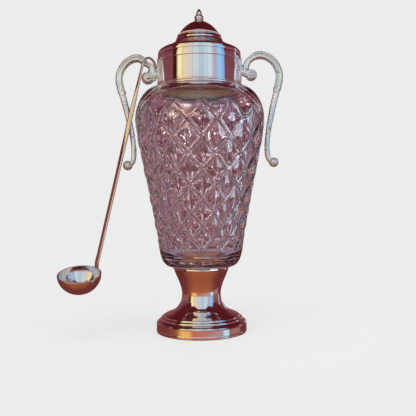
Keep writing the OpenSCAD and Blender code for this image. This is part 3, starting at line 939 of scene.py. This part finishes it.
def bowl_mesh():
    """A spun bowl with a rolled rim."""
    rim = arc((BOWL_R - 0.75, -0.72), 0.72, 180, 0, 10)
    outside = bowl_side(BOWL_R, BOWL_H, [4 + 86 * i / 40 for i in range(40)])
    bottom = [(0, -BOWL_H), (0, -BOWL_H + BOWL_T)]
    inside = bowl_side(BOWL_R - BOWL_T, BOWL_H - BOWL_T, [90 - 87 * i / 40 for i in range(1, 41)])
    verts, faces = lathe(rim + outside + bottom + inside, 160)
    return [BOWL_C + tilt @ Vector(v) for v in verts], faces


hook_d = Vector((cos(HOOK_AZ), sin(HOOK_AZ), 0))


def on_hook(degrees):
    """A point on the hook's circle, 0 where the stem comes up and 90 at the top."""
    a = radians(degrees)
    return HOOK_C + HOOK_R * (cos(a) * hook_d + sin(a) * UP)


def stem_mesh():
    """The hook over the handle, the flat stem with a raised spine, and the leaf-shaped end on the bowl."""
    hook_end, hook_tip, hook_step = 14, 206, 8
    top = on_hook(hook_end)
    on_shoe = BOWL_R + SHOE_T + STEM_T / 2
    end = by_bowl(on_shoe + 0.5, 6)

    def flat(f):
        """Direction of the width at a share f of the way down: the stem twists a little."""
        turn = STEM_TURN + STEM_TWIST * smooth(0.3, 0.5, f)
        return Vector((cos(turn), -sin(turn), 0))

    across = Vector((hook_d.y, -hook_d.x, 0))
    side = Vector((-sin(JOINT_AZ), cos(JOINT_AZ), 0))
    # Each row: point, direction of the width, width, thickness
    rows = [(on_hook(hook_tip), -across, HOOK_W - 0.6, HOOK_T - 0.6)]
    rows += [(on_hook(a), -across, HOOK_W, HOOK_T)
             for a in range(hook_tip - hook_step, hook_end, -hook_step)]
    rows += [(top, -across * 0.8 + flat(0) * 0.2, HOOK_W, HOOK_T),
             (top.lerp(end, 0.06), -across * 0.5 + flat(0) * 0.5, 4.8, 3.2),
             (top.lerp(end, 0.14), flat(0), 5.4, 3)]
    rows += [(top.lerp(end, f), flat(f), STEM_W, STEM_T) for f in (0.25, 0.4, 0.55, 0.7, 0.85, 0.95)]
    rows += [(end, flat(1) - side, STEM_W + 0.8, STEM_T),
             (by_bowl(on_shoe + 0.1, -14), -side, STEM_W - 1, STEM_T - 0.4)]
    fine = through([[*p, *w.normalized(), a, b] for p, w, a, b in rows], 8)
    path = [Vector(r[:3]) for r in fine]
    widths, heights = [], []
    for i, r in enumerate(fine):
        t = (path[min(i + 1, len(path) - 1)] - path[max(i - 1, 0)]).normalized()
        w = Vector(r[3:6])
        w = (w - t * w.dot(t)).normalized()
        widths.append(w)
        heights.append(t.cross(w))

    def section(i, angle):
        wide, thick = fine[i][6:]
        c, s = cos(angle), sin(angle)
        round_tip = min(1, (i + 2) / 8)
        size = round_tip * squared(angle, 1.4)
        return wide / 2 * (size * c + STEM_RIDGE * s * s * round_tip), thick / 2 * size * s

    return sweep(path, widths, heights, section, 32)


piece("ladle_bowl_spun", bowl_mesh(), ladle_metal, "ladle", ["ladle_bowl"])
piece("ladle_stem_forged", stem_mesh(), stem_metal_painted_reflection, "ladle", ["ladle_stem"])

# ------------ CAD nodes that stay

KEPT_NODES = (
    (plaster, ["collar_cement", "seat_cement"]),
    (steel, ["handle_screws", "finial_stud", "finial_washer", "finial_nut", "foot_seat_cup", "foot_tie_rod",
             "foot_washer", "foot_nut", "base_plate"]),
    (band_metal, ["lid_inner_flange"]),
    (felt, ["base_felt"]),
    (ladle_metal, ["ladle_shoe"]))
for finish, names in KEPT_NODES:
    for name in names:
        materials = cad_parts[name].data.materials
        materials.clear()
        materials.append(finish)

# ------------ stage and light

PALE = 0.84


def window_view(t, azimuth, place):
    """A curtain at the left and blue sky at the right, with soft upright streaks."""
    view = t.ramp(place, [
        (0.15, 226, 196, 130), (0.19, 255, 252, 205), (0.24, 236, 220, 160),
        (0.30, 226, 206, 186), (0.42, 205, 215, 218), (0.56, 176, 204, 222),
        (0.68, 205, 225, 235), (0.74, 176, 166, 184), (0.82, 150, 205, 250),
        (0.91, 120, 176, 238)])
    streaks = t.add("TexNoise", {"W": t.math("DIVIDE", azimuth, 5.0), "Scale": 1.0, "Detail": 2.0},
                    noise_dimensions="1D").outputs["Fac"]
    return t.mix(t.times(t.rise(streaks, 0.5, 0.72), 0.45), view, linear(150, 128, 140))


def wall_view(t, height, off_front):
    """Dark red walls over a warm floor that gets darker to the sides and behind."""
    upright = t.math("DIVIDE", t.math("ADD", height, 90.0), 180.0)
    wall = t.ramp(upright, [
        (0.0, 124, 60, 42), (0.40, 172, 100, 68), (0.455, 148, 88, 74),
        (0.52, 132, 82, 88), (0.60, 120, 68, 76), (0.67, 88, 28, 32),
        (1.0, 72, 16, 22)])
    far_floor = t.mix(t.rise(off_front, 35.0, 110.0), wall, linear(108, 50, 50))
    return t.mix(t.fall(height, -14.0, -4.0), wall, far_floor)


def clutter_view(t, direction, azimuth):
    """Dark, mauve and pale things with bright specks between them, as in a furnished room."""
    clutter = t.add("TexNoise", {"Vector": direction, "Scale": 10.0, "Detail": 4.0, "Distortion": 0.8})
    things = t.ramp(clutter.outputs["Fac"], [
        (0.36, 34, 12, 18), (0.44, 74, 34, 44), (0.50, 112, 74, 92),
        (0.55, 138, 104, 130), (0.585, 178, 124, 114), (0.61, 96, 56, 68),
        (0.655, 206, 212, 235), (0.72, 250, 253, 255)])
    specks = t.add("TexNoise", {"Vector": direction, "Scale": 30.0, "Detail": 1.0})
    things = t.mix(t.rise(specks.outputs["Fac"], 0.655, 0.70), things, (2.4, 2.1, 2.1, 1))
    things = t.mix(t.times(t.rise(azimuth, 95.0, 130.0), 0.12), things, linear(150, 78, 60))
    return t.mix(t.times(t.fall(azimuth, -130.0, -95.0), 0.3), things, linear(110, 42, 50))


def room(world):
    """The room that the metal and the glass mirror: dark red walls and one wide window at the front.

    Azimuths are in degrees from the front, with the right above 0, and heights are in degrees.
    """
    t = Tree(world)
    direction = t.add("TexCoord").outputs["Generated"]
    x, y, z = t.add("SeparateXYZ", {0: direction}).outputs
    azimuth = t.times(t.math("ARCTAN2", x, t.times(y, -1.0)), 180 / math.pi)
    height = t.times(t.math("ARCSINE", z), 180 / math.pi)
    place = t.math("DIVIDE", t.math("ADD", azimuth, 90.0), 180.0)
    off_front = t.math("ABSOLUTE", azimuth)

    # What is behind and below is there only for what shows through the glass
    seen_through = t.add("LightPath").outputs["Is Transmission Ray"]
    behind = t.times(t.rise(off_front, 95.0, 115.0), t.fall(height, 14.0, 26.0), t.rise(height, -22.0, -10.0))
    under = t.times(t.rise(off_front, 115.0, 130.0), t.fall(height, -22.0, -14.0))
    wall = wall_view(t, height, off_front)
    wall = t.mix(t.times(behind, seen_through), wall, clutter_view(t, direction, azimuth))
    wall = t.mix(t.times(under, seen_through), wall, linear(134, 122, 138))
    sill = t.ramp(place, [
        (0.14, 150, 84, 60), (0.22, 240, 180, 96), (0.32, 236, 178, 110),
        (0.38, 186, 112, 76), (0.60, 186, 128, 124), (0.80, 178, 150, 160),
        (0.84, 190, 232, 244), (0.90, 190, 226, 240), (0.93, 130, 80, 84)])
    # Two small windows behind, a dark frame left of the window, floor at the right, and the sill
    for left, right, low, high, soft, colour in (
            (152.0, 160.0, -3.0, 12.0, 1.0, linear(205, 228, 255)),
            (116.0, 123.0, -10.0, 22.0, 1.0, linear(190, 215, 245)),
            (-77.0, -63.5, -8.0, 34.0, 1.5, linear(58, 24, 13)),
            (78.0, 118.0, -26.0, -8.0, 5.0, linear(160, 118, 114)),
            (-75.0, 80.0, -24.0, -4.0, 5.0, sill)):
        across = t.times(t.rise(azimuth, left, left + soft), t.fall(azimuth, right - soft, right))
        tall = t.times(t.rise(height, low, low + 1.0), t.fall(height, high - soft, high))
        wall = t.mix(t.times(across, tall), wall, colour)
    # The window, taller in the middle
    sides = t.times(t.rise(azimuth, -64.5, -63.5), t.fall(azimuth, 72.5, 74.5))
    top = t.math("ADD", 44.0, t.times(18.0, t.fall(off_front, 25.0, 50.0)))
    ends = t.times(t.rise(height, -7.0, -5.0), t.fall(t.math("SUBTRACT", height, top), -3.0, 3.0))
    colour = t.mix(t.times(sides, ends), wall, window_view(t, azimuth, place))
    light = t.add("Background", {"Color": colour, "Strength": 1.15})
    t.add("OutputWorld", {"Surface": light.outputs[0]})
    world.cycles_visibility.camera = False


scene.world = bpy.data.worlds.new("room")
room(scene.world)


def stage_piece(name, shape, output):
    """A piece of the stage that no reflection and no glass shows. output(t) builds its shader."""
    mesh = bpy.data.meshes.new(name)
    shape.to_mesh(mesh)
    shape.free()
    material = bpy.data.materials.new(name)
    t = Tree(material)
    t.add("OutputMaterial", {"Surface": output(t).outputs[0]})
    mesh.materials.append(material)
    obj = bpy.data.objects.new(name, mesh)
    scene.collection.objects.link(obj)
    obj.visible_glossy = False
    obj.visible_transmission = False
    obj.visible_shadow = False
    return obj


def pale_glow(t):
    """A pale surface that shines evenly."""
    return t.add("Emission", {"Color": (PALE, PALE, PALE, 1)})


def fading_floor(t):
    """A pale floor that fades into the backdrop all round."""
    place = t.add("TexCoord").outputs["Object"]
    reach = t.add("VectorMath", {0: place}, operation="LENGTH").outputs["Value"]
    pale = t.add("BsdfDiffuse", {"Color": (PALE, PALE, PALE, 1)})
    even = t.add("MixShader", {0: 0.72, 1: pale.outputs[0], 2: pale_glow(t).outputs[0]})
    clear = t.add("BsdfTransparent")
    return t.add("MixShader", {0: t.rise(reach, 0.1, 0.45), 1: even.outputs[0], 2: clear.outputs[0]})


disc = bmesh.new()
bmesh.ops.create_circle(disc, cap_ends=True, segments=96, radius=0.9)
stage_piece("floor", disc, fading_floor)
sphere = bmesh.new()
bmesh.ops.create_uvsphere(sphere, u_segments=64, v_segments=32, radius=6)
stage_piece("backdrop", sphere, pale_glow).visible_diffuse = False


def area_light(name, place, aim, power):
    """An area light aimed at a point. It doesn't show through the glass."""
    light = bpy.data.lights.new(name, "AREA")
    light.energy = power
    obj = bpy.data.objects.new(name, light)
    obj.location = place
    obj.rotation_euler = (Vector(place) - Vector(aim)).to_track_quat("Z", "Y").to_euler()
    obj.visible_transmission = False
    scene.collection.objects.link(obj)
    return obj


def soft_light(name, place, size, power):
    """A large soft light, left out of reflections."""
    obj = area_light(name, place, (0, 0, 0.2), power)
    obj.data.size = size
    obj.visible_glossy = False


def pane_light(name, azimuth, elevation, width, tall, power, colour):
    """A bright pane that only the glass mirrors, for the glints on its cut faces."""
    a, e = radians(azimuth), radians(elevation)
    away = Vector((sin(a) * cos(e), -cos(a) * cos(e), sin(e)))
    middle = Vector((0, 0, 0.22))
    obj = area_light(name, middle + away * 1.5, middle, power)
    obj.data.shape = "RECTANGLE"
    obj.data.size = width
    obj.data.size_y = tall
    obj.data.color = colour
    obj.visible_diffuse = False
    receivers = bpy.data.collections.new(name)
    receivers.objects.link(vessel_piece)
    obj.light_linking.receiver_collection = receivers


soft_light("top_light", (0, -0.2, 1.9), 2.2, 26)
soft_light("front_light", (-0.9, -1.6, 1.1), 1.6, 16)
soft_light("side_light", (1.3, -0.6, 0.9), 1.4, 9)
soft_light("back_light", (0.2, 1.7, 1.2), 1.6, 12)
pane_light("pane_right", 54, 10, 0.9, 1.0, 24, (0.62, 0.82, 1.0))
pane_light("pane_left", -35, 20, 1.3, 0.5, 15, (1.0, 0.62, 0.48))

# ------------ camera

CAMERA_PLACE = (0.0107, -0.8614, 0.1864)
LENS = 51.06
PITCH = radians(90 - 0.486)
ROLL = radians(-0.5)

camera_data = bpy.data.cameras.new("camera")
camera_data.lens = LENS
camera_data.sensor_width = 36
camera_data.clip_end = 20
camera = bpy.data.objects.new("camera", camera_data)
scene.collection.objects.link(camera)
camera.matrix_world = (Matrix.Translation(CAMERA_PLACE) @ Matrix.Rotation(PITCH, 4, "X")
                       @ Matrix.Rotation(ROLL, 4, "Z"))
scene.camera = camera

bpy.context.view_layer.update()
